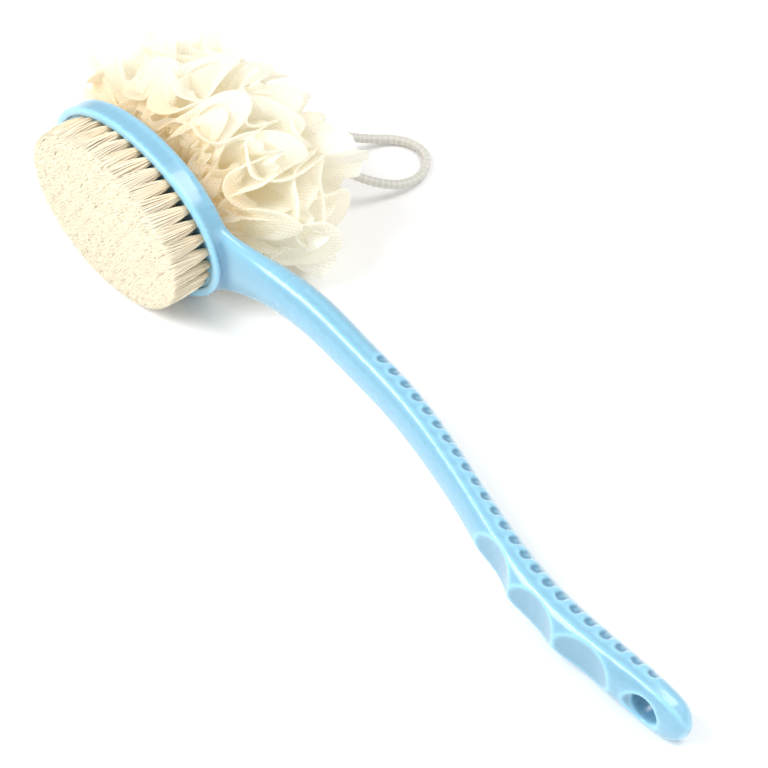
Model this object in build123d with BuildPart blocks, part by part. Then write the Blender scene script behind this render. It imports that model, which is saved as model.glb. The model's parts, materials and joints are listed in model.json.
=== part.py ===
from build123d import *
import os
from math import asin, cos, degrees, pi, radians, sin, sqrt, tan

# A two-sided bath brush: a blue moulded handle whose oval head holds a tufted bristle plate on its
# front and a gathered pouf of netting, with a hanging loop, on its back.
#
# All pieces are drawn upright in the brush's own frame, in millimetres: the origin is the middle of
# the bristle plate's face, +X runs along the head towards the handle, +Y points from the head to the
# pouf (so the bristles point along -Y), and +Z is sideways. At the end the brush is laid down on its
# side, the way it rests: on the head's edge, the pouf's squashed side and the handle's end.

# --- driving sizes -------------------------------------------------------------------------------
# head
head_half_length = 54.0
head_half_width = 37.5
head_back = 10.5  # height of the head's back above the plate's face
rim_height = 1.5  # how far the rim stands proud of the plate's face
rim_width = 3.7
back_edge_round = 4.5
rim_edge_round = 0.7
plate_thickness = 3.2
plate_gap = 0.15  # between the plate and the wall that it is pressed into
ledge_width = 5.0  # the step that the plate sits on
dish_floor = 2.8  # wall between the hollow under the plate and the head's back

# handle: x, height of the centre, depth of the back, depth of the front, half width
handle_sections = [
    (38, 6.0, 4.3, 4.3, 24.0),
    (54, 8.2, 5.6, 5.4, 15.5),
    (74, 13.0, 7.6, 7.2, 11.2),
    (96, 14.9, 8.2, 7.8, 9.8),
    (124, 13.2, 7.9, 7.6, 9.3),
    (152, 10.7, 7.7, 7.6, 9.1),
    (180, 5.3, 7.3, 7.4, 9.0),
    (208, -2.3, 7.1, 7.2, 9.1),
    (232, -9.2, 7.9, 8.2, 9.5),
    (256, -14.2, 8.6, 8.8, 10.0),
    (280, -15.2, 8.7, 8.8, 10.4),
    (302, -14.2, 8.0, 8.0, 10.7),
    (320, -14.0, 7.2, 7.0, 10.8),
]
end_cap = 12.0  # length of the rounded end beyond the last section
end_cap_angles = (60, 35, 12)
corner_drop = 3.4  # the corner between the sides and the front lies this far before the centre
corner_inset = 0.97  # share of the half width that is left at the corner

# grip
pocket_count = 24
pocket_pitch = 7.7
pocket_width = 5.0
pocket_depth = 1.1  # at the sides of the handle
pocket_fade = 0.3  # the pockets' floor comes this far out past the middle of the back, so they run out there
pocket_floor = 0.6  # the pockets' round ends start this far behind the centre
pocket_start = 136.0
groove_crests = [(220, -13.3), (245.5, -20.9), (272, -24.1), (299, -22.4)]
groove_depth = 3.6
hang_hole_x = 314.5
hang_hole_radius = 6.3
hang_hole_flare = 1.8

# bristles
bristle_length = 18.7
tuft_pitch = 6.5
ring_count = 5
outer_ring = (47.0, 31.8)  # half axes of the outer ring of tufts, at the plate
tip_lean = (0.95, 1.09)  # how the tips' ring compares with the roots' ring, along X and Z
tuft_root_radius = 1.35
tuft_tip_radius = 2.6
tuft_root_depth = 1.6
tuft_hole_clearance = 0.1
tuft_hole_depth = 2.6
tuft_blank = 1.1  # length of a tuft before it is trimmed flat, over its trimmed length
anchor_size = (2.2, 0.35, 0.9)  # a flat wire anchor: length, thickness, height

# pouf: height above the plate's face, half length, half width
netting_layers = [
    [(13.5, 36, 32), (21, 58, 43), (33.8, 68, 46)],
    [(34.4, 69, 46.5), (45, 71, 47.5), (55.8, 68, 46)],
    [(56.4, 67, 45), (68, 62, 42), (79, 50, 36)],
]
pouf_hole_radius = 8.5  # the gathered middle, which the cords run through
funnel_radius = 33.0  # of the open middle at the pouf's crown
pouf_pivot = 12.0  # height of the point where the pouf is tied to the head

# cords
cord_radius = 2.0
anchor_hole_spacing = 9.0
anchor_hole_clearance = 0.3
binding_turns = 4
binding_radius = 5.6
heart_knot_radius = 5.4
heart_knot_height = 52.5
loop_route = [
    (-2.6, 58.5, 0.5),
    (-1.5, 72, -1),
    (3, 90, -9),
    (10, 106, -21),
    (11, 122, -32.5),
    (20, 135, -33.6),
    (35, 137, -32.4),
    (45, 125, -31.4),
    (45, 109, -28),
    (36, 93, -19),
    (22, 80, -8),
    (8, 69.5, -1),
    (2.6, 58.5, -0.5),
]

# --- how the brush lies --------------------------------------------------------------------------
# The head's edge and the handle's end touch the floor together, so the handle dips by this angle.
end_x, _, _, _, end_half_width = handle_sections[-1]
rest_tilt = degrees(asin((head_half_width - end_half_width) / end_x))
rest_height = sqrt(
    (head_half_length * sin(radians(rest_tilt))) ** 2 + (head_half_width * cos(radians(rest_tilt))) ** 2
)
lean_to_floor = Location((0, 0, rest_height), (0, rest_tilt, 0))
floor_plane = Plane(lean_to_floor.inverse() * Location((0, 0, 0)))

os.makedirs("parts", exist_ok=True)


def front_plane(height):
    """The plane at this height above the plate's face, looking at the bristles: local x is X, local y is Z."""
    return Plane.XZ.offset(-height)


def across(x, centre):
    """The plane across the handle at x: local x is -Z, local y is Y."""
    return Plane(origin=(x, centre, 0), x_dir=(0, 0, -1), z_dir=(1, 0, 0))


def capped_sections():
    """The handle's sections with the rounded end's sections added, each smaller than the one before."""
    x, centre, back, front, half_width = handle_sections[-1]
    cap = [
        (x + end_cap * cos(radians(a)), centre, back * sin(radians(a)), front * sin(radians(a)),
         half_width * sin(radians(a)))
        for a in end_cap_angles
    ]
    return handle_sections + cap


def shaft_solid(narrower, deeper):
    """The shaft from inside the head to the rounded end, each section narrower at its sides and deeper at its back."""
    with BuildPart() as shaft:
        for x, centre, back, front, half_width in capped_sections():
            share = half_width / handle_sections[-1][4] if x > end_x else 1
            wide, deep, fore = half_width - narrower, back + deeper, front
            drop = corner_drop * share
            if min(wide, deep, fore - drop) <= 0:
                continue
            with BuildSketch(across(x, centre)):
                with BuildLine():
                    EllipticalCenterArc((0, 0), wide, deep, start_angle=0, arc_size=180)
                    Line((-wide, 0), (-wide * corner_inset, -drop))
                    ThreePointArc((-wide * corner_inset, -drop), (0, -fore), (wide * corner_inset, -drop))
                    Line((wide * corner_inset, -drop), (wide, 0))
                make_face()
        loft()
    return shaft.part


def tuft_axes(ring):
    """Planes at the roots of one ring's tufts, each looking along its tuft's lean."""
    half_length, half_width = outer_ring[0] - ring * tuft_pitch, outer_ring[1] - ring * tuft_pitch
    if half_width > tuft_pitch / 2:
        oval = Edge.make_ellipse(half_length, half_width, Plane.XZ)
        count = round(oval.length / tuft_pitch)
        roots = [oval.position_at(i * oval.length / count, position_mode=PositionMode.LENGTH)
                 for i in range(count)]
    else:
        count = int(2 * half_length / tuft_pitch) + 1
        roots = [Vector((i - (count - 1) / 2) * tuft_pitch, 0, 0) for i in range(count)]
    lean_x, lean_z = (tip_lean[0] - 1) / bristle_length, (tip_lean[1] - 1) / bristle_length
    return [
        Plane(origin=root, x_dir=(1, root.X * lean_x, 0), z_dir=(root.X * lean_x, -1, root.Z * lean_z))
        for root in roots
    ]


rings = [tuft_axes(ring) for ring in range(ring_count + 1)]
ring_names = [f"ring_{i + 1}" for i in range(ring_count)] + ["centre_row"]

# --- handle with its head ------------------------------------------------------------------------
seat_half_axes = (head_half_length - rim_width, head_half_width - rim_width)
hollow_half_axes = (seat_half_axes[0] - ledge_width, seat_half_axes[1] - ledge_width)
hollow_floor = head_back - dish_floor

core = shaft_solid(pocket_depth, pocket_fade)
with BuildLine() as centreline:
    Spline(*[(x, centre) for x, centre, *_ in handle_sections])
path = centreline.edge()
path_start = next(
    s for s in range(int(path.length))
    if path.position_at(s, position_mode=PositionMode.LENGTH).X >= pocket_start
)
slot_height = 2 * max(back for _, _, back, _, _ in handle_sections)

with BuildPart() as pockets:
    for i in range(pocket_count):
        at = (path_start + i * pocket_pitch) / path.length
        angle = path.tangent_angle_at(at)
        middle = path.position_at(at) + Vector(0, pocket_floor + pocket_width / 2 + slot_height / 2, 0).rotate(
            Axis.Z, angle)
        with BuildSketch(Plane.XY):
            with Locations(middle):
                SlotCenterToCenter(slot_height, pocket_width, rotation=angle + 90)
        extrude(amount=2 * head_half_width, both=True)
    add(core, mode=Mode.SUBTRACT)

with BuildPart() as handle:
    with BuildSketch(front_plane(head_back)):
        Ellipse(head_half_length, head_half_width)
    extrude(amount=head_back + rim_height)
    fillet(handle.edges().group_by(Axis.Y)[-1], back_edge_round)
    fillet(handle.edges().group_by(Axis.Y)[0], rim_edge_round)
    add(shaft_solid(0, 0))
    with BuildSketch(front_plane(plate_thickness)):
        Ellipse(*seat_half_axes)
    extrude(amount=plate_thickness + rim_height, mode=Mode.SUBTRACT)
    with BuildSketch(front_plane(hollow_floor)):
        Ellipse(*hollow_half_axes)
    extrude(amount=hollow_floor - plate_thickness, mode=Mode.SUBTRACT)
    with BuildSketch(front_plane(head_back)):
        with GridLocations(anchor_hole_spacing, 0, 2, 1):
            Circle(cord_radius + anchor_hole_clearance)
    extrude(amount=dish_floor, mode=Mode.SUBTRACT)
    # three scoops for the fingers, across the front
    for crest, following in zip(groove_crests, groove_crests[1:]):
        with BuildSketch(Plane.XY):
            with BuildLine():
                SagittaArc(crest, following, groove_depth)
                Polyline(following, (following[0], -2 * head_half_width), (crest[0], -2 * head_half_width), crest)
            make_face()
        extrude(amount=2 * head_half_width, both=True, mode=Mode.SUBTRACT)
    add(pockets.part, mode=Mode.SUBTRACT)
    # the hanging hole, flared where it meets the front and the back
    hang_centre = handle_sections[-1][1]
    for side, depth in ((1, handle_sections[-1][2]), (-1, handle_sections[-1][3])):
        with BuildSketch(front_plane(hang_centre)):
            with Locations((hang_hole_x, 0)):
                Circle(hang_hole_radius)
        extrude(amount=-side * 2 * depth, mode=Mode.SUBTRACT)
        flare_foot = hang_centre + side * (depth - hang_hole_flare)
        with BuildSketch(front_plane(flare_foot)):
            with Locations((hang_hole_x, 0)):
                Circle(hang_hole_radius)
        extrude(amount=-side * 2 * hang_hole_flare, taper=-45, mode=Mode.SUBTRACT)

# --- bristle plate, with a hole for every tuft ---------------------------------------------------
with BuildPart() as bristle_plate:
    with BuildSketch(front_plane(plate_thickness)):
        Ellipse(seat_half_axes[0] - plate_gap, seat_half_axes[1] - plate_gap)
    extrude(amount=plate_thickness)
    with Locations(*[axis for ring in rings for axis in ring]):
        Cylinder(tuft_root_radius + tuft_hole_clearance, 2 * tuft_hole_depth, mode=Mode.SUBTRACT)


# --- tufts and their wire anchors, ring by ring --------------------------------------------------
def tufts(ring):
    """One ring's tufts: a straight root in the plate, then a bundle that spreads to its flat-cut tips."""
    with BuildPart() as bundle:
        with Locations(*[axis.offset(-tuft_root_depth) for axis in ring]):
            Cylinder(tuft_root_radius, tuft_root_depth, align=(Align.CENTER, Align.CENTER, Align.MIN))
        with Locations(*ring):
            Cone(tuft_root_radius, tuft_tip_radius, tuft_blank * bristle_length,
                 align=(Align.CENTER, Align.CENTER, Align.MIN))
        split(bisect_by=front_plane(-bristle_length), keep=Keep.BOTTOM)
    return bundle


def anchors(ring):
    """One ring's anchors: short flat wires across the feet of the holes, under the tufts."""
    with BuildPart() as wires:
        with Locations(*[axis.offset(-tuft_hole_depth) for axis in ring]):
            Box(anchor_size[0], anchor_size[1], anchor_size[2], align=(Align.CENTER, Align.CENTER, Align.MIN))
    return wires


# --- pouf ----------------------------------------------------------------------------------------
def netting(sections, crown=False):
    """One gathered length of netting: an oval puff around the gathered middle, flat where it lies."""
    with BuildPart() as puff:
        for height, half_length, half_width in sections:
            with BuildSketch(front_plane(height)):
                Ellipse(half_length, half_width)
        loft()
        foot, top = sections[0][0], sections[-1][0]
        with BuildSketch(front_plane(top)):
            Circle(pouf_hole_radius)
        extrude(amount=top - foot, mode=Mode.SUBTRACT)
        if crown:
            with BuildSketch(front_plane(foot)):
                Circle(pouf_hole_radius)
            with BuildSketch(front_plane(top)):
                Circle(funnel_radius)
            loft(mode=Mode.SUBTRACT)
        split(bisect_by=floor_plane, keep=Keep.TOP)
    return puff


# --- cords ---------------------------------------------------------------------------------------
binding_foot = pouf_pivot + 2 * cord_radius
binding_top = heart_knot_height - heart_knot_radius - plate_gap

with BuildPart() as binding_cord:
    # the turns of cord wound round the gathered middle, and the gathered netting inside them
    with BuildSketch(Plane.XY):
        with BuildLine():
            turn = (binding_top - binding_foot) / binding_turns
            Line((0, binding_foot), (binding_radius, binding_foot))
            for i in range(binding_turns):
                below, above = binding_foot + i * turn, binding_foot + (i + 1) * turn
                ThreePointArc(
                    (binding_radius, below), (binding_radius + cord_radius, (below + above) / 2),
                    (binding_radius, above))
            Polyline((binding_radius, binding_top), (0, binding_top), (0, binding_foot))
        make_face()
    revolve(axis=Axis.Y)

with BuildPart() as heart_knot:
    with Locations((0, heart_knot_height, 0)):
        Sphere(heart_knot_radius)
    split(bisect_by=front_plane(loop_route[0][1]), keep=Keep.TOP)

with BuildPart() as anchor_cord:
    # one staple of cord: up through one hole of the head, over, and down through the other
    leg = anchor_hole_spacing / 2
    with BuildLine():
        FilletPolyline(
            (-leg, hollow_floor, 0), (-leg, pouf_pivot + cord_radius, 0), (leg, pouf_pivot + cord_radius, 0),
            (leg, hollow_floor, 0), radius=1.2 * cord_radius)
    with BuildSketch(front_plane(hollow_floor).moved(Location((-leg, 0, 0)))):
        Circle(cord_radius)
    sweep()

with BuildPart() as anchor_knot:
    # the two ends tied together in the hollow behind the bristle plate
    with Locations((0, (plate_thickness + hollow_floor) / 2, 0)):
        Box(anchor_hole_spacing + 2 * cord_radius, hollow_floor - plate_thickness - 2 * plate_gap, 3 * cord_radius)
    fillet(anchor_knot.edges(), cord_radius / 2)

loop_corners = [
    (Vector(b) - Vector(a), Vector(c) - Vector(b))
    for a, b, c in zip(loop_route, loop_route[1:], loop_route[2:])
]
loop_radii = [
    0.45 * min(before.length, after.length) / tan(radians(before.get_angle(after) / 2))
    for before, after in loop_corners
]

with BuildPart() as hanging_loop:
    with BuildLine() as loop_line:
        FilletPolyline(*loop_route, radius=loop_radii)
    loop_start = loop_line.wires()[0] % 0
    with BuildSketch(Plane(origin=loop_route[0], z_dir=loop_start)):
        Circle(cord_radius)
    sweep()

loop_length = loop_line.wires()[0].length
print("loop: length", round(loop_length, 1), "tube volume over section times length",
      round(hanging_loop.part.volume / (pi * cord_radius**2 * loop_length), 4))
print("loop: arc radii", [round(r, 1) for r in loop_radii])

# --- lay the brush down, name the pieces and write them -------------------------------------------
pieces = {"handle": handle, "bristle_plate": bristle_plate}
for ring_name, ring in zip(ring_names, rings):
    pieces[f"tufts_{ring_name}"] = tufts(ring)
    pieces[f"anchors_{ring_name}"] = anchors(ring)
pieces["netting_inner"] = netting(netting_layers[0])
pieces["netting_middle"] = netting(netting_layers[1])
pieces["netting_outer"] = netting(netting_layers[2], crown=True)
pieces["binding_cord"] = binding_cord
pieces["heart_knot"] = heart_knot
pieces["anchor_cord"] = anchor_cord
pieces["anchor_knot"] = anchor_knot
free_cords = {"hanging_loop": hanging_loop}

for piece in [*pieces.values(), *free_cords.values()]:
    piece.part.move(lean_to_floor)
low = [min(getattr(p.part.bounding_box().min, axis) for p in pieces.values()) for axis in "XY"]
high = [max(getattr(p.part.bounding_box().max, axis) for p in pieces.values()) for axis in "XY"]
to_origin = Location((-(low[0] + high[0]) / 2, -(low[1] + high[1]) / 2, 0))
laid_down = to_origin * lean_to_floor  # from the brush's own frame to the frame that it lies in
print("laid down:", laid_down)

for name, piece in {**pieces, **free_cords}.items():
    piece.part.move(to_origin)
    piece.part.label = name
    export_step(piece.part, f"parts/{name}.step")
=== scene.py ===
"""Two-sided bath brush: glossy handle, trimmed bristle head, gathered netting pouf and cord loop."""

import json
from math import cos, exp, pi, radians, sin, sqrt, tau

import bmesh
import bpy
from bpy.props import FloatProperty, FloatVectorProperty, IntProperty, PointerProperty
from bpy.types import Operator, Panel, PropertyGroup
from mathutils import Matrix, Vector, noise

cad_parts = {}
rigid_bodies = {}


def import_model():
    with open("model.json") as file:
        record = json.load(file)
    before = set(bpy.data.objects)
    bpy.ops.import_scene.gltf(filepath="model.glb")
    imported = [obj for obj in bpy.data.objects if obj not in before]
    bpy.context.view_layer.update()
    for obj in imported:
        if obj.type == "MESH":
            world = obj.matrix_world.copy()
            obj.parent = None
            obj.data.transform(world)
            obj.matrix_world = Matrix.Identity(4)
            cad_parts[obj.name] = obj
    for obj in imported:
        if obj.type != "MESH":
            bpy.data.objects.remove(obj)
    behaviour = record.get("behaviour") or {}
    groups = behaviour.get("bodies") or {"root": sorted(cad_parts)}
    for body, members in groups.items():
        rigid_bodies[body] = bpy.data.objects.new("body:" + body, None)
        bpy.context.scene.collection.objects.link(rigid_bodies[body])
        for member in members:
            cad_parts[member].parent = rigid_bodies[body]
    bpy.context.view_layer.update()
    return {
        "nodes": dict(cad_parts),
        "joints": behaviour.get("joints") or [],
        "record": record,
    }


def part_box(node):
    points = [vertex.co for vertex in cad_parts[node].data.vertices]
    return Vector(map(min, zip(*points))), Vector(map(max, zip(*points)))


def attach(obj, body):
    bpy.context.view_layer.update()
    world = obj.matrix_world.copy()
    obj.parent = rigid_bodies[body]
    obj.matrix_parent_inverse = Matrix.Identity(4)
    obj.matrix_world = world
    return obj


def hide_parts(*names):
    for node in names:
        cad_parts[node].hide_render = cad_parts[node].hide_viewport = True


bl_info = {
    "name": "Bath Brush with Netting Pouf",
    "version": (1, 0, 0),
    "blender": (4, 5, 0),
    "location": "View3D > Sidebar > Bath Brush",
    "description": "Builds the brush's bristles, pouf, cords, finishes and studio around the packed CAD model",
    "category": "Object",
}

for leftover in list(bpy.data.objects):
    bpy.data.objects.remove(leftover)
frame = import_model()

NODES = frame["nodes"]
JOINTS = {joint["name"]: joint for joint in frame["joints"]}
FINISHES = {entry["slot"]: entry["base_color"] for entry in frame["record"]["materials"]}

# The brush's own axes: along the head towards the handle, out of its back to the pouf, and across.
OUT = Vector(JOINTS["pouf_turn"]["axis"])
ACROSS = Vector(JOINTS["loop_swing"]["axis"])
ALONG = OUT.cross(ACROSS)
TIE_DEPTH = 0.012  # from the bristle plate's face to the pouf's tie
PLATE_CENTRE = Vector(JOINTS["pouf_turn"]["pos_m"]) - TIE_DEPTH * OUT
LAID = Matrix.Translation(PLATE_CENTRE) @ Matrix((ALONG, OUT, ACROSS)).transposed().to_4x4()
UPRIGHT = LAID.inverted()

CORD_DIAMETER = 0.004
# The loop's route on the brush's own axes: out of the heart knot, down to where it lies, and back.
LOOP_ROUTE = [
    (-0.0026, 0.0585, 0.0005), (-0.0015, 0.072, -0.001), (0.003, 0.090, -0.009), (0.010, 0.106, -0.021),
    (0.011, 0.122, -0.0325), (0.020, 0.135, -0.0336), (0.035, 0.137, -0.0324), (0.045, 0.125, -0.0314),
    (0.045, 0.109, -0.028), (0.036, 0.093, -0.019), (0.022, 0.080, -0.008), (0.008, 0.0695, -0.001),
    (0.0026, 0.0585, -0.0005),
]

# The flat netting assumed for one gathered length and for one wide fold, and from the tie to its edge.
HEM_RUNS = (0.002, 0.005, 0.009)  # back from the netting's folded edge
HANDLE_SKIN = 0.00066  # spacing of the moulded skin's faces
# Where the neck runs into the head: start and end along the brush, and smoothing passes.
NECK_BLENDS = [(0.028, 0.090, 14), (0.034, 0.082, 18), (0.040, 0.074, 22)]
SHADE_MARK_PASSES = 12  # of smoothing, which show where the handle is recessed, for its painted shade and highlight
SHADE_MARK_FULL = 0.00009  # that they move a vertex in a full recess, which gets the full painted shade
TRIM_OVAL = (0.0485, 0.0372)  # half axes of the bristles' trimmed face

CAMERA_PLACE = Vector((0.5212, -0.4629, 0.7429))
CAMERA_RIGHT = Vector((0.67235, 0.74004, -0.0168))
CAMERA_BACK = Vector((0.5169, -0.4531, 0.7263))

# One row for each gathered length of netting: its piece, where it leaves the tie, how far it leans
# out of the brush's back, its folds, their turn, their depth and its reach.
RUFFLES = [
    ("pouf_inner", 0.0185, -36, 7, 0.3, 0.36, 1.02),
    ("pouf_inner", 0.0215, -24, 6, 1.7, 0.40, 1.06),
    ("pouf_inner", 0.0245, -12, 6, 4.1, 0.42, 1.06),
    ("pouf_middle", 0.0275, -2, 5, 2.9, 0.46, 1.03),
    ("pouf_middle", 0.0305, 8, 6, 0.9, 0.46, 1.03),
    ("pouf_middle", 0.0335, 18, 5, 5.2, 0.46, 1.03),
    ("pouf_outer", 0.0365, 28, 6, 3.6, 0.42, 1.02),
    ("pouf_outer", 0.0395, 38, 5, 1.2, 0.40, 1.00),
    ("pouf_outer", 0.0425, 50, 5, 2.2, 0.34, 0.96),
]
# One row for each wide fold that stands out of the ruffles: its piece, where it leaves the tie, its
# heading round the tie, its lean, half its spread, how it is cupped and its reach.
PETALS = [
    ("pouf_inner", 0.020, 14, -24, 0.44, 0.34, 1.05),
    ("pouf_inner", 0.020, 52, -27, 0.40, 0.30, 1.02),
    ("pouf_inner", 0.021, 155, -19, 0.42, -0.26, 1.12),
    ("pouf_inner", 0.021, 183, -30, 0.45, 0.24, 1.20),
    ("pouf_inner", 0.021, 232, -22, 0.42, 0.30, 1.00),
    ("pouf_inner", 0.021, 300, -22, 0.42, -0.30, 1.00),
    ("pouf_middle", 0.030, 1, 6, 0.38, 0.36, 1.06),
    ("pouf_middle", 0.030, -20, -3, 0.38, -0.30, 1.12),
    ("pouf_middle", 0.030, 40, 3, 0.40, 0.38, 1.05),
    ("pouf_middle", 0.031, 128, -6, 0.40, -0.32, 1.08),
    ("pouf_middle", 0.030, 205, 4, 0.40, 0.32, 1.03),
    ("pouf_middle", 0.030, 262, 6, 0.40, -0.32, 1.00),
    ("pouf_outer", 0.036, 22, 39, 0.46, 0.38, 1.22),
    ("pouf_outer", 0.036, 61, 42, 0.36, -0.30, 1.05),
    ("pouf_outer", 0.036, 84, 30, 0.38, 0.34, 1.07),
    ("pouf_outer", 0.036, 130, 32, 0.42, 0.34, 1.12),
    ("pouf_outer", 0.036, 188, 34, 0.42, -0.30, 1.05),
    ("pouf_outer", 0.036, 246, 32, 0.42, 0.32, 1.02),
    ("pouf_outer", 0.036, 306, 36, 0.42, -0.32, 1.04),
]
RUFFLE_NODES = {"pouf_inner": "netting_inner", "pouf_middle": "netting_middle", "pouf_outer": "netting_outer"}


class BrushSizes(PropertyGroup):
    """Sizes of the brush's hairs, netting and cords."""
    strands: IntProperty(
        name="Strands per tuft", description="Nylon strands in each tuft", default=110, min=20, max=160)
    strand_radius: FloatProperty(
        name="Strand radius", description="Radius of one nylon strand", default=0.00023, unit="LENGTH", precision=5)
    tuft_spread: FloatProperty(
        name="Tuft spread", description="Radius of a tuft at its trimmed tips", default=0.005, unit="LENGTH")
    thread_gap: FloatProperty(
        name="Thread gap", description="Distance between the netting's threads", default=0.0013, unit="LENGTH")
    lip: FloatProperty(
        name="Fold radius", description="Radius of the folded edge of the netting", default=0.0005, unit="LENGTH")
    braid_step: FloatProperty(
        name="Braid step", description="Length of one crossing of the cord's braid", default=0.0058, unit="LENGTH")


class BrushColours(PropertyGroup):
    """Colours of the brush's finishes."""
    handle: FloatVectorProperty(
        name="Handle", description="Moulded handle", subtype="COLOR", size=3, default=(0.19, 0.40, 0.535))
    # Painted light: the plate shares the handle's blue and is made lighter here to lift the shade between the tufts.
    plate: FloatVectorProperty(
        name="Plate", description="Bristle plate", subtype="COLOR", size=3, default=(0.25, 0.53, 0.72))
    bristle_root: FloatVectorProperty(
        name="Bristle roots", description="Strands at the plate", subtype="COLOR", size=3,
        default=(1.0, 0.79, 0.52))
    bristle_tip: FloatVectorProperty(
        name="Bristle tips", description="Strands at the trimmed face", subtype="COLOR", size=3,
        default=(1.0, 0.94, 0.76))
    netting: FloatVectorProperty(
        name="Netting", description="Outer edges of the netting", subtype="COLOR", size=3,
        default=(0.96, 0.945, 0.885))
    # Painted glow: the yellow of the netting deep in its folds stands for light shining through its layers.
    netting_fold_glow: FloatVectorProperty(
        name="Netting folds", description="Netting deep in the folds", subtype="COLOR", size=3,
        default=(0.97, 0.90, 0.69))
    netting_glow: FloatVectorProperty(
        name="Netting at the head", description="Netting warmed by the light that the head throws back",
        subtype="COLOR", size=3, default=(1.0, 0.80, 0.50))
    cord: FloatVectorProperty(
        name="Cord", description="Braided cord", subtype="COLOR", size=3, default=(0.70, 0.68, 0.62))
    wire: FloatVectorProperty(
        name="Anchor wire", description="Wire that holds the tufts", subtype="COLOR", size=3,
        default=FINISHES["anchor_wire"])


# --- shader node groups --------------------------------------------------------------------------
def new_group(name, inputs, outputs):
    """An empty shader node group with named inputs and outputs, and its input and output nodes."""
    group = bpy.data.node_groups.new(name, "ShaderNodeTree")
    for label, kind, value in inputs:
        socket = group.interface.new_socket(name=label, in_out="INPUT", socket_type=kind)
        if value is not None:
            socket.default_value = value
    for label, kind in outputs:
        group.interface.new_socket(name=label, in_out="OUTPUT", socket_type=kind)
    return group, group.nodes.new("NodeGroupInput"), group.nodes.new("NodeGroupOutput")


def math_node(tree, operation, first, second=None, third=None, clamp=False):
    """A Math node's result, with each of its inputs a socket or a number."""
    node = tree.nodes.new("ShaderNodeMath")
    node.operation = operation
    node.use_clamp = clamp
    for slot, value in enumerate((first, second, third)):
        if isinstance(value, bpy.types.NodeSocket):
            tree.links.new(value, node.inputs[slot])
        elif value is not None:
            node.inputs[slot].default_value = value
    return node.outputs[0]


def mix_colour(tree, factor, first, second, blend="MIX"):
    """A colour mix's result, with each input a socket or a value."""
    node = tree.nodes.new("ShaderNodeMix")
    node.data_type = "RGBA"
    node.blend_type = blend
    for slot, value in ((0, factor), (6, first), (7, second)):
        if isinstance(value, bpy.types.NodeSocket):
            tree.links.new(value, node.inputs[slot])
        elif slot == 0:
            node.inputs[slot].default_value = value
        else:
            node.inputs[slot].default_value = (*value, 1.0)
    return node.outputs[2]


def noise_node(tree, vector, scale, detail=3.0, roughness=0.5):
    """A noise texture's value on the given coordinates."""
    node = tree.nodes.new("ShaderNodeTexNoise")
    node.inputs["Detail"].default_value = detail
    node.inputs["Roughness"].default_value = roughness
    tree.links.new(vector, node.inputs["Vector"])
    if isinstance(scale, bpy.types.NodeSocket):
        tree.links.new(scale, node.inputs["Scale"])
    else:
        node.inputs["Scale"].default_value = scale
    return node.outputs["Fac"]


def build_moulding_group():
    """Moulded plastic: faint flow shades, handling haze and fine moulding texture."""
    group, source, result = new_group(
        "Moulded Plastic",
        [("Vector", "NodeSocketVector", None), ("Colour", "NodeSocketColor", None),
         ("Shade", "NodeSocketFloat", 0.06), ("Gloss Low", "NodeSocketFloat", 0.16),
         ("Gloss High", "NodeSocketFloat", 0.28)],
        [("Colour", "NodeSocketColor"), ("Roughness", "NodeSocketFloat"), ("Height", "NodeSocketFloat")])
    vector = source.outputs["Vector"]
    flow = noise_node(group, vector, 22.0, 2.0)
    haze = noise_node(group, vector, 90.0, 5.0, 0.62)
    grain = noise_node(group, vector, 900.0, 3.0)
    darker = mix_colour(group, source.outputs["Shade"], source.outputs["Colour"], (0.05, 0.12, 0.2))
    result_colour = mix_colour(group, flow, darker, source.outputs["Colour"])
    span = math_node(group, "SUBTRACT", source.outputs["Gloss High"], source.outputs["Gloss Low"])
    gloss = math_node(group, "MULTIPLY_ADD", haze, span, source.outputs["Gloss Low"])
    height = math_node(group, "MULTIPLY_ADD", haze, 0.35, math_node(group, "MULTIPLY", grain, 0.65))
    group.links.new(result_colour, result.inputs["Colour"])
    group.links.new(gloss, result.inputs["Roughness"])
    group.links.new(height, result.inputs["Height"])
    return group


def build_fibre_group():
    """Fibres: a tint from root to tip, with strands a little lighter and darker than each other."""
    group, source, result = new_group(
        "Fibre Tint",
        [("Vector", "NodeSocketVector", None), ("Depth", "NodeSocketFloat", 0.0),
         ("Root", "NodeSocketColor", None), ("Tip", "NodeSocketColor", None),
         ("Variation", "NodeSocketFloat", 0.15), ("Grain", "NodeSocketFloat", 900.0)],
        [("Colour", "NodeSocketColor"), ("Roughness", "NodeSocketFloat"), ("Height", "NodeSocketFloat")])
    vector = source.outputs["Vector"]
    speck = noise_node(group, vector, source.outputs["Grain"], 2.0)
    cloud = noise_node(group, vector, 120.0, 3.0)
    depth = math_node(group, "POWER", source.outputs["Depth"], 0.62, clamp=True)
    tint = mix_colour(group, depth, source.outputs["Root"], source.outputs["Tip"])
    patchy = math_node(group, "MULTIPLY", math_node(group, "ADD", speck, cloud), source.outputs["Variation"])
    result_colour = mix_colour(group, patchy, tint, source.outputs["Root"])
    group.links.new(result_colour, result.inputs["Colour"])
    group.links.new(math_node(group, "MULTIPLY_ADD", speck, 0.25, 0.38), result.inputs["Roughness"])
    group.links.new(speck, result.inputs["Height"])
    return group


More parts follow.
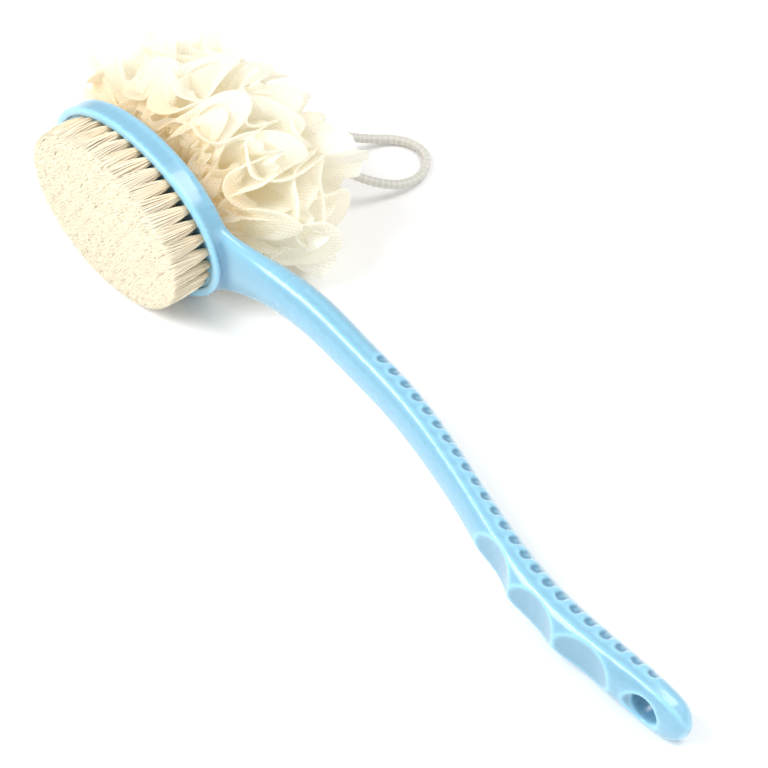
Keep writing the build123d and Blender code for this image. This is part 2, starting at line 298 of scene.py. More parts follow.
def build_netting_group():
    """Knitted netting on a flat cloth's coordinates in metres: lengthwise threads with loops across."""
    group, source, result = new_group(
        "Knitted Netting",
        [("Vector", "NodeSocketVector", None), ("Gap", "NodeSocketFloat", 0.0013),
         ("Open", "NodeSocketFloat", 0.3)],
        [("Thread", "NodeSocketFloat"), ("Alpha", "NodeSocketFloat"), ("Height", "NodeSocketFloat")])
    parts = group.nodes.new("ShaderNodeSeparateXYZ")
    group.links.new(source.outputs["Vector"], parts.inputs[0])
    turns = math_node(group, "DIVIDE", tau, source.outputs["Gap"])
    across = math_node(group, "MULTIPLY", parts.outputs[0], turns)
    along = math_node(group, "MULTIPLY", parts.outputs[1], turns)
    sway = math_node(group, "MULTIPLY", math_node(group, "SINE", math_node(group, "MULTIPLY", along, 0.7)), 0.9)
    rib = math_node(group, "SINE", math_node(group, "ADD", across, sway))
    rib = math_node(group, "POWER", math_node(group, "MULTIPLY_ADD", rib, 0.5, 0.5), 1.6)
    stitch = math_node(group, "SINE", math_node(group, "MULTIPLY_ADD", across, 0.5, math_node(
        group, "MULTIPLY", along, 0.7)))
    stitch = math_node(group, "POWER", math_node(group, "MULTIPLY_ADD", stitch, 0.5, 0.5), 3.0)
    thread = math_node(group, "MAXIMUM", rib, math_node(group, "MULTIPLY", stitch, 0.7))
    closed = math_node(group, "SUBTRACT", 1.0, source.outputs["Open"])
    alpha = math_node(group, "MULTIPLY_ADD", thread, source.outputs["Open"], closed, clamp=True)
    group.links.new(thread, result.inputs["Thread"])
    group.links.new(alpha, result.inputs["Alpha"])
    group.links.new(thread, result.inputs["Height"])
    return group


def build_braid_group():
    """A round braid on a cord's coordinates: turns round it and metres along it."""
    group, source, result = new_group(
        "Round Braid",
        [("Vector", "NodeSocketVector", None), ("Step", "NodeSocketFloat", 0.0032),
         ("Plaits", "NodeSocketFloat", 4.0)],
        [("Strand", "NodeSocketFloat"), ("Height", "NodeSocketFloat")])
    parts = group.nodes.new("ShaderNodeSeparateXYZ")
    group.links.new(source.outputs["Vector"], parts.inputs[0])
    around = math_node(group, "MULTIPLY", math_node(group, "MULTIPLY", parts.outputs[0], tau), source.outputs["Plaits"])
    along = math_node(group, "MULTIPLY", parts.outputs[1], math_node(group, "DIVIDE", tau, source.outputs["Step"]))
    right = math_node(group, "SINE", math_node(group, "ADD", around, along))
    left = math_node(group, "SINE", math_node(group, "SUBTRACT", around, along))
    strand = math_node(group, "MULTIPLY", right, left)
    strand = math_node(group, "MULTIPLY_ADD", strand, 0.5, 0.5)
    fuzz = noise_node(group, source.outputs["Vector"], 900.0, 2.0)
    group.links.new(strand, result.inputs["Strand"])
    group.links.new(math_node(group, "MULTIPLY_ADD", fuzz, 0.3, strand), result.inputs["Height"])
    return group


def shared_group(name, build):
    """The node group of that name, built the first time it is asked for."""
    return bpy.data.node_groups.get(name) or build()


# --- materials -----------------------------------------------------------------------------------
def new_material(name):
    """A material with one Principled shader, and its tree, shader and output nodes."""
    material = bpy.data.materials.new(name)
    material.use_nodes = True
    tree = material.node_tree
    tree.nodes.clear()
    shader = tree.nodes.new("ShaderNodeBsdfPrincipled")
    output = tree.nodes.new("ShaderNodeOutputMaterial")
    tree.links.new(shader.outputs[0], output.inputs["Surface"])
    return material, tree, shader


def place_group(tree, group, **values):
    """A group node in a material, with values on its inputs. An underscore in a name is a space."""
    node = tree.nodes.new("ShaderNodeGroup")
    node.node_tree = group
    for label, value in values.items():
        socket = node.inputs[label.replace("_", " ")]
        socket.default_value = (*value, 1.0) if socket.type == "RGBA" else value
    return node


def add_bump(tree, shader, height, strength, distance):
    """A Bump node from a height to the shader's Normal."""
    bump = tree.nodes.new("ShaderNodeBump")
    bump.inputs["Strength"].default_value = strength
    bump.inputs["Distance"].default_value = distance
    tree.links.new(height, bump.inputs["Height"])
    tree.links.new(bump.outputs[0], shader.inputs["Normal"])


def coordinates(tree, kind="Object"):
    """The piece's own coordinates of one kind."""
    return tree.nodes.new("ShaderNodeTexCoord").outputs[kind]


def plastic_material(name, colour, coat, gloss_low, gloss_high, shade_and_highlight=None):
    """Glossy moulded plastic; where an attribute is given, painted shade darkens its recesses and a painted highlight
    lightens its edges.
    """
    material, tree, shader = new_material(name)
    moulding = place_group(tree, shared_group("Moulded Plastic", build_moulding_group),
                           Colour=colour, Shade=0.05, Gloss_Low=gloss_low, Gloss_High=gloss_high)
    tree.links.new(coordinates(tree), moulding.inputs["Vector"])
    tint = moulding.outputs["Colour"]
    if shade_and_highlight:
        recess = tree.nodes.new("ShaderNodeAttribute")
        recess.attribute_name = shade_and_highlight
        # Painted shade: darker blue deep in the recesses. Painted highlight: a lighter blue on the edges.
        deep = math_node(tree, "MULTIPLY", recess.outputs["Fac"], 1.0, clamp=True)
        edge = math_node(tree, "MULTIPLY", recess.outputs["Fac"], -0.5, clamp=True)
        tint = mix_colour(tree, deep, tint, (0.10, 0.27, 0.42))
        tint = mix_colour(tree, edge, tint, [min(1.0, 1.5 * part) for part in colour])
    tree.links.new(tint, shader.inputs["Base Color"])
    tree.links.new(moulding.outputs["Roughness"], shader.inputs["Roughness"])
    add_bump(tree, shader, moulding.outputs["Height"], 0.12, 0.0001)
    shader.inputs["IOR"].default_value = 1.49
    shader.inputs["Coat Weight"].default_value = coat
    shader.inputs["Coat Roughness"].default_value = 0.16
    return material


def bristle_material(colours):
    """Nylon strands, tan at the plate and cream at the trimmed face."""
    material, tree, shader = new_material("bristle_fibre")
    where = coordinates(tree)
    parts = tree.nodes.new("ShaderNodeSeparateXYZ")
    tree.links.new(where, parts.inputs[0])
    depth = tree.nodes.new("ShaderNodeMapRange")
    depth.inputs["From Min"].default_value = PLATE_CENTRE.y
    depth.inputs["From Max"].default_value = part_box("tufts_ring_1")[0].y
    tree.links.new(parts.outputs[1], depth.inputs["Value"])
    fibre = place_group(tree, shared_group("Fibre Tint", build_fibre_group),
                        Root=colours.bristle_root, Tip=colours.bristle_tip, Variation=0.11, Grain=2200.0)
    tree.links.new(where, fibre.inputs["Vector"])
    tree.links.new(depth.outputs[0], fibre.inputs["Depth"])
    tree.links.new(fibre.outputs["Colour"], shader.inputs["Base Color"])
    tree.links.new(fibre.outputs["Roughness"], shader.inputs["Roughness"])
    shader.inputs["Sheen Weight"].default_value = 0.15
    return material


def wire_material(colours):
    """Drawn brass wire."""
    material, tree, shader = new_material("anchor_wire")
    fibre = place_group(tree, shared_group("Fibre Tint", build_fibre_group),
                        Root=[0.7 * part for part in colours.wire], Tip=colours.wire, Depth=0.8, Grain=3000.0)
    tree.links.new(coordinates(tree), fibre.inputs["Vector"])
    tree.links.new(fibre.outputs["Colour"], shader.inputs["Base Color"])
    tree.links.new(fibre.outputs["Roughness"], shader.inputs["Roughness"])
    shader.inputs["Metallic"].default_value = 1.0
    return material


def netting_material(colours, sizes):
    """Soft knitted netting that lets light through, with a painted yellow glow deep in its folds and a faint painted
    glow of its own.
    """
    material, tree, shader = new_material("netting")
    flat = coordinates(tree, "UV")
    weave = place_group(tree, shared_group("Knitted Netting", build_netting_group),
                        Gap=sizes.thread_gap, Open=0.3)
    tree.links.new(flat, weave.inputs["Vector"])
    parts = tree.nodes.new("ShaderNodeSeparateXYZ")
    tree.links.new(flat, parts.inputs[0])
    depth = tree.nodes.new("ShaderNodeMapRange")
    depth.inputs["From Min"].default_value = 0.010
    depth.inputs["From Max"].default_value = 0.040
    tree.links.new(parts.outputs[1], depth.inputs["Value"])
    where = coordinates(tree)
    cloud = noise_node(tree, where, 34.0, 2.0)
    # Painted glow: yellower near the tie, deep in the folds, and whiter towards the edges, with a random cloud.
    shade = math_node(tree, "MULTIPLY_ADD", cloud, 0.5, math_node(tree, "MULTIPLY", depth.outputs[0], 0.75), clamp=True)
    tint = mix_colour(tree, shade, colours.netting_fold_glow, colours.netting)
    place = tree.nodes.new("ShaderNodeSeparateXYZ")
    tree.links.new(where, place.inputs[0])
    near_head = tree.nodes.new("ShaderNodeMapRange")
    near_head.inputs["From Min"].default_value = PLATE_CENTRE.y + 0.030
    near_head.inputs["From Max"].default_value = PLATE_CENTRE.y + 0.012
    near_head.inputs["To Max"].default_value = 0.6
    tree.links.new(place.outputs[1], near_head.inputs["Value"])
    tint = mix_colour(tree, near_head.outputs[0], tint, colours.netting_glow)
    threads = math_node(tree, "MULTIPLY_ADD", weave.outputs["Thread"], -0.22, 0.22)
    tint = mix_colour(tree, threads, tint, colours.netting_fold_glow, "MULTIPLY")
    tree.links.new(tint, shader.inputs["Base Color"])
    tree.links.new(weave.outputs["Alpha"], shader.inputs["Alpha"])
    shader.inputs["Roughness"].default_value = 0.55
    shader.inputs["Sheen Weight"].default_value = 0.25
    add_bump(tree, shader, weave.outputs["Height"], 0.3, 0.0003)
    # Painted light: a faint emission in the netting's own tint lifts its shade so that it glows.
    tree.links.new(tint, shader.inputs["Emission Color"])
    shader.inputs["Emission Strength"].default_value = 0.12
    glow = tree.nodes.new("ShaderNodeBsdfTranslucent")
    tree.links.new(tint, glow.inputs["Color"])
    blend = tree.nodes.new("ShaderNodeMixShader")
    blend.inputs[0].default_value = 0.55
    tree.links.new(shader.outputs[0], blend.inputs[1])
    tree.links.new(glow.outputs[0], blend.inputs[2])
    output = next(node for node in tree.nodes if node.type == "OUTPUT_MATERIAL")
    tree.links.new(blend.outputs[0], output.inputs["Surface"])
    return material


def cord_material(name, colours, sizes, coordinate):
    """Braided cotton cord."""
    material, tree, shader = new_material(name)
    where = coordinates(tree, coordinate)
    braid = place_group(tree, shared_group("Round Braid", build_braid_group), Step=sizes.braid_step, Plaits=2.0)
    if coordinate == "Object":
        turn = tree.nodes.new("ShaderNodeMapping")
        turn.inputs["Scale"].default_value = (80.0, 1.0, 80.0)
        tree.links.new(where, turn.inputs["Vector"])
        where = turn.outputs[0]
    tree.links.new(where, braid.inputs["Vector"])
    tint = mix_colour(tree, math_node(tree, "MULTIPLY_ADD", braid.outputs["Strand"], -0.45, 0.45),
                      colours.cord, (0.45, 0.42, 0.36))
    tree.links.new(tint, shader.inputs["Base Color"])
    shader.inputs["Roughness"].default_value = 0.75
    shader.inputs["Sheen Weight"].default_value = 0.3
    add_bump(tree, shader, braid.outputs["Height"], 0.8, 0.0004)
    return material


def floor_material():
    """Pale matt studio floor with a very faint mottle."""
    material, tree, shader = new_material("studio_floor")
    mottle = noise_node(tree, coordinates(tree), 6.0)
    tint = mix_colour(tree, mottle, (0.93, 0.93, 0.93), (0.96, 0.96, 0.96))
    tree.links.new(tint, shader.inputs["Base Color"])
    shader.inputs["Roughness"].default_value = 0.8
    return material


def give_material(piece, material):
    """Puts one material on the whole of a piece or CAD node."""
    if not piece.data.materials:
        piece.data.materials.append(material)
    for slot in piece.material_slots:
        slot.material = material


# --- mesh helpers --------------------------------------------------------------------------------
def finish_piece(mesh_work, name, material, body, node):
    """Turns a bmesh on the brush's own axes into a smooth piece that stands for a CAD node."""
    bmesh.ops.transform(mesh_work, matrix=LAID, verts=mesh_work.verts)
    mesh = bpy.data.meshes.new(name)
    mesh_work.to_mesh(mesh)
    mesh_work.free()
    mesh.polygons.foreach_set("use_smooth", [True] * len(mesh.polygons))
    piece = bpy.data.objects.new(name, mesh)
    bpy.context.scene.collection.objects.link(piece)
    mesh.materials.append(material)
    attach(piece, body)
    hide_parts(node)
    return piece


def extruded_ring(mesh_work, edges):
    """The next ring of a tube: the edges extruded from the last ring's."""
    made = bmesh.ops.extrude_edge_only(mesh_work, edges=edges)["geom"]
    return [part for part in made if isinstance(part, bmesh.types.BMEdge)]


def sweep_tube(mesh_work, path, radius, sides, wrap):
    """A tube of create_circle rings, extruded along a path, with turns and metres as its UV map."""
    layer = mesh_work.loops.layers.uv.new("UVMap")
    made = bmesh.ops.create_circle(mesh_work, segments=sides, radius=1.0)["verts"]
    rows = [list(made)]
    edges = list({edge for vert in made for edge in vert.link_edges})
    for _ in path[1:]:
        before = set(mesh_work.verts)
        edges = extruded_ring(mesh_work, edges)
        joined = {}
        for vert in {vert for edge in edges for vert in edge.verts}:
            for edge in vert.link_edges:
                other = edge.other_vert(vert)
                if other in before:
                    joined[other] = vert
        rows.append([joined[vert] for vert in rows[-1]])
    travelled, up = 0.0, Vector((0, 0, 1))
    where = {}
    for row, place in enumerate(path):
        ahead = (path[min(row + 1, len(path) - 1)] - path[max(row - 1, 0)]).normalized()
        up = (up - up.dot(ahead) * ahead).normalized()
        side = ahead.cross(up)
        travelled += (place - path[max(row - 1, 0)]).length
        for step, vert in enumerate(rows[row]):
            angle = tau * step / sides
            swell = radius * (1 + wrap(step / sides, travelled))
            vert.co = place + swell * (cos(angle) * up + sin(angle) * side)
            where[vert] = (step / sides, travelled)
    for face in mesh_work.faces:
        late = max(where[loop.vert][0] for loop in face.loops) > 0.75
        for loop in face.loops:
            turn, distance = where[loop.vert]
            loop[layer].uv = (turn + 1.0 if late and turn < 0.25 else turn, distance)
    for row in (rows[0], rows[-1]):
        bmesh.ops.contextual_create(mesh_work, geom=row)
    bmesh.ops.recalc_face_normals(mesh_work, faces=mesh_work.faces)


def evenly(points, count):
    """Places a whole number of equal steps apart along a line of points."""
    lengths = [0.0]
    for near, far in zip(points, points[1:]):
        lengths.append(lengths[-1] + (far - near).length)
    places, row = [], 0
    for step in range(count):
        goal = lengths[-1] * step / (count - 1)
        while row < len(points) - 2 and lengths[row + 1] < goal:
            row += 1
        share = (goal - lengths[row]) / max(lengths[row + 1] - lengths[row], 1e-9)
        places.append(points[row].lerp(points[row + 1], share))
    return places


# --- operators -----------------------------------------------------------------------------------
class BRUSH_OT_camera(Operator):
    """Place the camera"""
    bl_idname = "brush.camera"
    bl_label = "Camera"

    def execute(self, context):
        lens = bpy.data.cameras.new("camera")
        lens.lens = 116.74
        lens.sensor_width = 36.0
        lens.dof.use_dof = False
        camera = bpy.data.objects.new("camera", lens)
        context.scene.collection.objects.link(camera)
        up = CAMERA_BACK.cross(CAMERA_RIGHT).normalized()
        right = up.cross(CAMERA_BACK).normalized()
        turn = Matrix((right, up, CAMERA_BACK.normalized())).transposed().to_4x4()
        camera.matrix_world = Matrix.Translation(CAMERA_PLACE) @ turn
        context.scene.camera = camera
        return {"FINISHED"}


class BRUSH_OT_hanging_loop(Operator):
    """Braid the hanging loop along its route"""
    bl_idname = "brush.hanging_loop"
    bl_label = "Hanging loop"

    def execute(self, context):
        sizes, colours = context.scene.brush_sizes, context.scene.brush_colours
        route = bpy.data.curves.new("loop_route", "CURVE")
        route.dimensions = "3D"
        route.resolution_u = 24
        line = route.splines.new("NURBS")
        line.points.add(len(LOOP_ROUTE) - 1)
        for point, place in zip(line.points, LOOP_ROUTE):
            point.co = (*place, 1.0)
        line.order_u = 3
        line.use_endpoint_u = True
        guide = bpy.data.objects.new("loop_route", route)
        traced = bpy.data.meshes.new_from_object(guide)
        traced_points = [vert.co.copy() for vert in traced.vertices]
        bpy.data.objects.remove(guide)
        bpy.data.curves.remove(route)
        bpy.data.meshes.remove(traced)
        path = evenly(traced_points, 640)

        def plait(turn, distance):
            right = sin(tau * (2 * turn + distance / sizes.braid_step))
            left = sin(tau * (2 * turn - distance / sizes.braid_step))
            return 0.10 * right * left - 0.02

        work = bmesh.new()
        sweep_tube(work, path, CORD_DIAMETER / 2, 24, plait)
        material = cord_material("cord", colours, sizes, "UV")
        loop = finish_piece(work, "cord_loop", material, "loop", "hanging_loop")
        return {"FINISHED"}


def mark_shade_and_highlight(work):
    """Writes to a float attribute how far each vertex lies in a recess, or less than 0 on an edge, which the handle's
    material turns into painted shade and painted highlight.
    """
    layer = work.verts.layers.float.new("shade_and_highlight")
    work.normal_update()
    sharp = [(vert, vert.co.copy(), vert.normal.copy()) for vert in work.verts]
    for _ in range(SHADE_MARK_PASSES):
        bmesh.ops.smooth_vert(work, verts=work.verts, factor=0.5, use_axis_x=True, use_axis_y=True, use_axis_z=True)
    for vert, place, normal in sharp:
        vert[layer] = (vert.co - place).dot(normal) / SHADE_MARK_FULL
        vert.co = place


class BRUSH_OT_handle(Operator):
    """Mould the handle in one piece, with its neck blended into the head"""
    bl_idname = "brush.handle"
    bl_label = "Handle"

    def execute(self, context):
        colours = context.scene.brush_colours
        work = bmesh.new()
        work.from_mesh(NODES["handle"].data)
        bmesh.ops.remove_doubles(work, verts=work.verts, dist=1e-6)
        mesh = bpy.data.meshes.new("handle_form")
        work.to_mesh(mesh)
        work.free()
        form = bpy.data.objects.new("handle_form", mesh)
        context.scene.collection.objects.link(form)
        skin = form.modifiers.new("skin", "REMESH")
        skin.mode = "VOXEL"
        skin.voxel_size = HANDLE_SKIN
        skinned = bpy.data.meshes.new_from_object(form.evaluated_get(context.evaluated_depsgraph_get()))
        bpy.data.objects.remove(form)
        work = bmesh.new()
        work.from_mesh(skinned)
        bpy.data.meshes.remove(skinned)
        bpy.data.meshes.remove(mesh)
        bmesh.ops.transform(work, matrix=UPRIGHT, verts=work.verts)
        bmesh.ops.smooth_vert(work, verts=work.verts, factor=0.5, use_axis_x=True, use_axis_y=True, use_axis_z=True)
        for start, end, passes in NECK_BLENDS:
            neck = [vert for vert in work.verts if start < vert.co.x < end and vert.co.y > 0.0012]
            for _ in range(passes):
                bmesh.ops.smooth_vert(work, verts=neck, factor=0.5, use_axis_x=True, use_axis_y=True, use_axis_z=True)
        # Marks recesses and edges for the handle's painted shade and highlight.
        mark_shade_and_highlight(work)
        material = plastic_material("handle_plastic", colours.handle, 0.6, 0.2, 0.32, "shade_and_highlight")
        finish_piece(work, "brush_handle", material, "brush", "handle")
        return {"FINISHED"}


class BRUSH_OT_moulding(Operator):
    """Finish the bristle plate, the tuft wires and the tie's cords"""
    bl_idname = "brush.moulding"
    bl_label = "Plate and ties"

    def execute(self, context):
        sizes, colours = context.scene.brush_sizes, context.scene.brush_colours
        give_material(NODES["bristle_plate"], plastic_material("plate_plastic", colours.plate, 0.2, 0.3, 0.42))
        wire = wire_material(colours)
        tie = cord_material("tie_cord", colours, sizes, "Object")
        for name, node in NODES.items():
            if name.startswith("anchors_"):
                give_material(node, wire)
            elif name in ("anchor_cord", "anchor_knot", "binding_cord", "heart_knot"):
                give_material(node, tie)
        return {"FINISHED"}


def tuft_lines(node):
    """The root and the tip of every tuft of a CAD node, on the brush's own axes."""
    work = bmesh.new()
    work.from_mesh(NODES[node].data)
    bmesh.ops.transform(work, matrix=UPRIGHT, verts=work.verts)
    bmesh.ops.remove_doubles(work, verts=work.verts, dist=1e-6)
    left, lines = set(work.verts), []
    while left:
        island, edge_of = [], [left.pop()]
        while edge_of:
            vert = edge_of.pop()
            island.append(vert.co.copy())
            for edge in vert.link_edges:
                other = edge.other_vert(vert)
                if other in left:
                    left.remove(other)
                    edge_of.append(other)
        top, foot = max(co.y for co in island), min(co.y for co in island)
        ends = []
        for level in (top, foot):
            near = [co for co in island if abs(co.y - level) < 0.0003]
            ends.append(sum(near, Vector()) / len(near))
        lines.append(tuple(ends))
    work.free()
    return sorted(lines, key=lambda ends: (round(ends[0].x, 6), round(ends[0].z, 6)))


def strand_bundle(sizes, seed):
    """One tuft of strands about the Z axis, from its root at 0 to its tips at 1."""
    work = bmesh.new()
    golden = pi * (3 - sqrt(5))
    for strand in range(sizes.strands):
        spot = Vector((strand * 0.731, seed * 3.17, 0.5))
        reach = sqrt((strand + 0.5) / sizes.strands)
        angle = strand * golden + seed
        jitter = noise.noise_vector(40 * spot)
        ring = bmesh.ops.create_circle(work, segments=3, radius=1.0)["verts"]
        edges = list({edge for vert in ring for edge in vert.link_edges})
        rows = [list(ring)]
        for _ in range(3):
            edges = extruded_ring(work, edges)
            rows.append(list({vert for edge in edges for vert in edge.verts}))
        for row, height in zip(rows, (0.0, 0.3, 0.65, 1.0)):
            flare = 0.0012 + (sizes.tuft_spread - 0.0012) * height ** 0.8
            middle = Vector((reach * cos(angle), reach * sin(angle), 0)) * flare
            middle += Vector((jitter.x, jitter.y, 0)) * 0.0011 * height
            thick = sizes.strand_radius * (1.25 - 0.25 * height)
            centre = sum((vert.co for vert in row), Vector()) / len(row)
            for vert in row:
                vert.co = middle + (vert.co - centre).normalized() * thick
                vert.co.z = height
        bmesh.ops.contextual_create(work, geom=rows[-1])
    bmesh.ops.recalc_face_normals(work, faces=work.faces)
    mesh = bpy.data.meshes.new("bundle")
    work.to_mesh(mesh)
    work.free()
    return mesh


class BRUSH_OT_bristles(Operator):
    """Fill the head with tufts of trimmed nylon strands, ring by ring"""
    bl_idname = "brush.bristles"
    bl_label = "Bristles"

    def execute(self, context):
        sizes, colours = context.scene.brush_sizes, context.scene.brush_colours
        material = bristle_material(colours)
        bundles = [strand_bundle(sizes, seed) for seed in range(5)]
        for node in sorted(name for name in NODES if name.startswith("tufts_")):
            work = bmesh.new()
            for number, (root, tip) in enumerate(tuft_lines(node)):
                before = len(work.verts)
                work.from_mesh(bundles[number % len(bundles)])
                work.verts.ensure_lookup_table()
                swirl = Matrix.Rotation(number * 2.4, 2)
                for vert in work.verts[before:]:
                    height = vert.co.z
                    offset = swirl @ vert.co.xy
                    spot = root.lerp(tip, height)
                    trim = 0.00025 * noise.noise(Vector((offset.x, offset.y, number)) * 4000) * height
                    vert.co = Vector((spot.x + offset.x, spot.y + trim, spot.z + offset.y))
                    outside = sqrt((vert.co.x / TRIM_OVAL[0]) ** 2 + (vert.co.z / TRIM_OVAL[1]) ** 2)
                    if outside > 0.93:
                        inside = 0.93 + 0.07 * (1 - exp(-(outside - 0.93) / 0.07))
                        pull = 1 + (inside / outside - 1) * height
                        vert.co.x, vert.co.z = vert.co.x * pull, vert.co.z * pull
            piece = finish_piece(work, node.replace("tufts", "bristles"), material, "brush", node)
            piece.data.validate()
        for mesh in bundles:
            bpy.data.meshes.remove(mesh)
        return {"FINISHED"}


def netting_place(angle, swung, tilt, out, leaves, stretch, seed):
    """A point of the netting: out from 0 at the tie to 1 at its edge, which points along swung and tilt."""
    flat = Vector((cos(swung), 0, sin(swung)))
    heading = cos(tilt) * flat + sin(tilt) * OUT
    distance = 1 / sqrt((heading.x / 0.0645) ** 2 + (heading.y / 0.040) ** 2 + (heading.z / 0.043) ** 2)
    edge = Vector((-0.002, 0.044, 0)) + heading * distance * stretch
    edge.x += 0.16 * (edge.y - 0.042)
    base = Vector((0, leaves, 0)) + 0.0082 * Vector((cos(angle), 0, sin(angle)))
    elbow = base + flat * 0.016 + 0.25 * (edge - base)
    place = base.lerp(elbow, out).lerp(elbow.lerp(edge, out), out)
    place += noise.noise_vector(place * 55 + Vector((seed, 0, 0))) * 0.0026 * out
    place.y += sin(30 * angle + 3 * seed) * 0.0019 * (1 - out) ** 0.8
    far = sqrt(place.x ** 2 + place.z ** 2)
    rise = min(max((far - 0.045) / 0.03, 0), 1)
    clear = 0.0128 + 0.009 * rise * rise * (3 - 2 * rise)
    if place.y < clear + 0.003:
        place.y = clear + 0.003 * exp((place.y - clear - 0.003) / 0.003)
    return place


def ruffle_place(turn, out, leaves, lean, folds, phase, depth, reach):
    """A point of a gathered length of netting, turn round the tie and out from it."""
    angle = tau * turn
    circle = Vector((cos(angle), sin(angle), 0)) * 1.3
    drift = noise.noise(circle + Vector((0, 0, 7 * phase)))
    swell = noise.noise(2.1 * circle + Vector((0, 0, 5 * phase + 3)))
    wave = folds * angle + phase + 1.6 * drift
    spread = out ** 1.25
    swung = angle - 0.36 / folds * sin(2 * wave) * spread
    tilt = radians(lean) + depth * (1.0 + 0.9 * swell) * sin(wave) * spread
    crest = (0.5 - 0.5 * cos(2 * wave)) ** 1.5
    stretch = reach * (0.88 + 0.14 * crest * spread + 0.12 * swell)
    return netting_place(angle, swung, tilt, out, leaves, stretch, phase)


def petal_place(side, out, leaves, heading, lean, half_spread, cup, reach):
    """A point of one wide fold that stands out of the ruffles: side from -1 to 1 across it, and out from the tie."""
    angle = radians(heading) + half_spread * side * (0.35 + 0.65 * out ** 0.5)
    pleats = (0.06 * sin(9 * side + heading) + 0.035 * sin(21 * side + lean)) * out
    tilt = radians(lean) + cup * (side * side - 0.4) * out ** 1.2 + pleats
    stretch = reach * (1.06 - 0.36 * abs(side) ** 1.4 * out)
    return netting_place(angle, angle, tilt, out, leaves, stretch, 0.1 * heading)


def spread_size(place, start, end):
    """The length of the netting's free edge and its mean run from the tie, which its threads are laid out on."""
    sides = [start + (end - start) * step / 400 for step in range(401)]
    edge = [place(side, 1.0) for side in sides]
    width = sum((far - near).length for near, far in zip(edge, edge[1:]))
    run = 0.0
    for side in sides[::40]:
        line = [place(side, step / 40) for step in range(41)]
        run += sum((far - near).length for near, far in zip(line, line[1:])) / len(sides[::40])
    return width, run


def rest_on_floor(place):
    """The place, lifted softly to where netting lies flattened on the floor."""
    low = (LAID @ place).z
    if low < 0.003:
        place += UPRIGHT.to_3x3() @ Vector((0, 0, 0.0006 + 0.0024 * exp((low - 0.003) / 0.0024) - low))


def add_ruffle(work, layer, sizes, row):
    """One gathered length of netting: rings extruded out from the tie and rolled over at the edge."""
    columns, steps = 420, 22
    width, run = spread_size(lambda turn, out: ruffle_place(turn, out, *row), 0.0, 1.0)
    start = bmesh.ops.create_circle(work, segments=columns, radius=1.0)["verts"]
    rows = [list(start)]
    edges = list({edge for vert in start for edge in vert.link_edges})
    for _ in range(steps + 7):
        edges = extruded_ring(work, edges)
        fresh = {vert for edge in edges for vert in edge.verts}
        follow = {}
        for vert in fresh:
            for edge in vert.link_edges:
                other = edge.other_vert(vert)
                if other not in fresh:
                    follow[other] = vert
        rows.append([follow[vert] for vert in rows[-1]])
    where = {}
    for column in range(columns):
        turn = column / columns
        for step in range(steps + 1):
            vert = rows[step][column]
            vert.co = ruffle_place(turn, step / steps, *row)
            where[vert] = (turn, run * step / steps)
    for column in range(columns):
        edge = rows[steps][column].co
        back = rows[steps - 1][column].co
        beside = rows[steps][(column + 1) % columns].co - rows[steps][column - 1].co
        ahead = (edge - back).normalized()
        lift = ahead.cross(beside).normalized()
        turn = column / columns
        for step, bend in enumerate((0.25, 0.5, 0.75, 1.0)):
            vert = rows[steps + 1 + step][column]
            vert.co = edge + sizes.lip * (sin(pi * bend) * ahead + (1 - cos(pi * bend)) * lift)
            where[vert] = (turn, run + 0.0005 * (step + 1))
        for step, back in enumerate(HEM_RUNS):
            vert = rows[steps + 5 + step][column]
            vert.co = edge + 2 * sizes.lip * lift * (1 - 0.25 * step) - back * ahead
            where[vert] = (turn, run + 0.002 + back)
    for vert in where:
        rest_on_floor(vert.co)
    for face in {face for row_verts in rows for vert in row_verts for face in vert.link_faces}:
        late = max(where[loop.vert][0] for loop in face.loops) > 0.75
        for loop in face.loops:
            turn, distance = where[loop.vert]
            loop[layer].uv = (width * (turn + 1.0 if late and turn < 0.25 else turn), distance)


def add_petal(work, layer, row):
    """One wide fold of netting, from a grid between the tie and the fold's rounded edge."""
    width, run = spread_size(lambda side, out: petal_place(side, out, *row), -1.0, 1.0)
    grid = bmesh.ops.create_grid(work, x_segments=56, y_segments=26, size=1.0)["verts"]
    where = {}
    for vert in grid:
        side, out = vert.co.x, (vert.co.y + 1) / 2
        where[vert] = (width / 2 * side, run * out)
        vert.co = petal_place(side, out, *row)
        rest_on_floor(vert.co)
    for face in {face for vert in grid for face in vert.link_faces}:
        for loop in face.loops:
            loop[layer].uv = where[loop.vert]


class BRUSH_OT_pouf(Operator):
    """Gather the pouf's netting into its ruffles"""
    bl_idname = "brush.pouf"
    bl_label = "Netting pouf"

    def execute(self, context):
        sizes, colours = context.scene.brush_sizes, context.scene.brush_colours
        material = netting_material(colours, sizes)
        for name, node in RUFFLE_NODES.items():
            work = bmesh.new()
            layer = work.loops.layers.uv.new("UVMap")
            rows = [row[1:] for row in RUFFLES if row[0] == name]
            petals = [row[1:] for row in PETALS if row[0] == name]
            for row in rows:
                add_ruffle(work, layer, sizes, row)
            for row in petals:
                add_petal(work, layer, row)
            piece = finish_piece(work, name, material, "pouf", node)
        return {"FINISHED"}


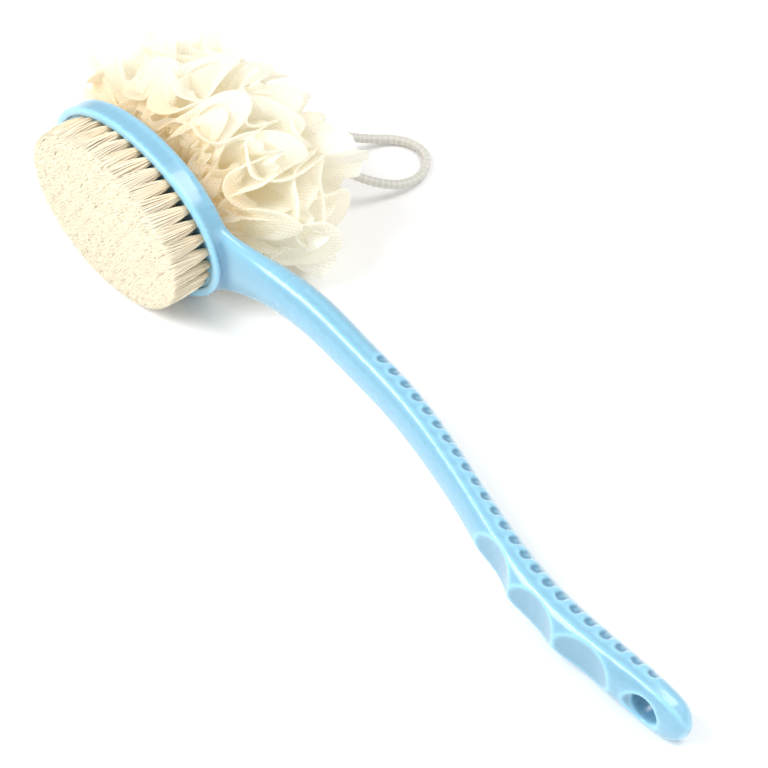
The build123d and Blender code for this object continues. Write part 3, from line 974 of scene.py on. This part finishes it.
class BRUSH_OT_stage(Operator):
    """Lay the studio floor and set the soft lights"""
    bl_idname = "brush.stage"
    bl_label = "Floor and lights"

    def execute(self, context):
        work = bmesh.new()
        bmesh.ops.create_grid(work, x_segments=1, y_segments=1, size=4.0)
        mesh = bpy.data.meshes.new("studio_floor")
        work.to_mesh(mesh)
        work.free()
        floor = bpy.data.objects.new("studio_floor", mesh)
        context.scene.collection.objects.link(floor)
        mesh.materials.append(floor_material())
        for name, place, size, power in (
                ("key_light", (-0.45, -0.8, 1.0), 0.9, 16.0),
                ("top_light", (0.3, 0.5, 1.2), 0.7, 7.0),
                ("side_light", (1.0, -0.1, 0.6), 1.2, 3.0)):
            light = bpy.data.lights.new(name, "AREA")
            light.shape = "DISK"
            light.size = size
            light.energy = power
            lamp = bpy.data.objects.new(name, light)
            lamp.location = place
            lamp.rotation_euler = (Vector(place) - Vector((0, 0, 0.03))).to_track_quat("Z", "Y").to_euler()
            context.scene.collection.objects.link(lamp)
        world = bpy.data.worlds.new("studio")
        world.use_nodes = True
        world.node_tree.nodes["Background"].inputs[0].default_value = (1.0, 1.0, 1.0, 1.0)
        world.node_tree.nodes["Background"].inputs[1].default_value = 0.56
        context.scene.world = world
        context.scene.view_settings.view_transform = "Standard"
        return {"FINISHED"}


class BRUSH_PT_bath_brush(Panel):
    """Sizes, colours and pieces of the bath brush"""
    bl_idname = "BRUSH_PT_bath_brush"
    bl_label = "Bath Brush"
    bl_space_type = "VIEW_3D"
    bl_region_type = "UI"
    bl_category = "Bath Brush"

    def draw(self, context):
        for settings in (context.scene.brush_sizes, context.scene.brush_colours):
            box = self.layout.box()
            for name in settings.__annotations__:
                box.prop(settings, name)
        for step in STEPS:
            self.layout.operator(step.bl_idname)


STEPS = (BRUSH_OT_camera, BRUSH_OT_hanging_loop, BRUSH_OT_handle, BRUSH_OT_moulding, BRUSH_OT_bristles, BRUSH_OT_pouf,
         BRUSH_OT_stage)
CLASSES = (BrushSizes, BrushColours, *STEPS, BRUSH_PT_bath_brush)


def register():
    """Adds the brush's settings, operators and panel to Blender."""
    for cls in CLASSES:
        bpy.utils.register_class(cls)
    bpy.types.Scene.brush_sizes = PointerProperty(type=BrushSizes)
    bpy.types.Scene.brush_colours = PointerProperty(type=BrushColours)


def unregister():
    """Takes them away again."""
    del bpy.types.Scene.brush_colours
    del bpy.types.Scene.brush_sizes
    for cls in reversed(CLASSES):
        bpy.utils.unregister_class(cls)


def main():
    """Builds every piece in order."""
    register()
    bpy.ops.brush.camera()
    bpy.ops.brush.hanging_loop()
    bpy.ops.brush.handle()
    bpy.ops.brush.moulding()
    bpy.ops.brush.bristles()
    bpy.ops.brush.pouf()
    bpy.ops.brush.stage()


if __name__ == "__main__":
    main()
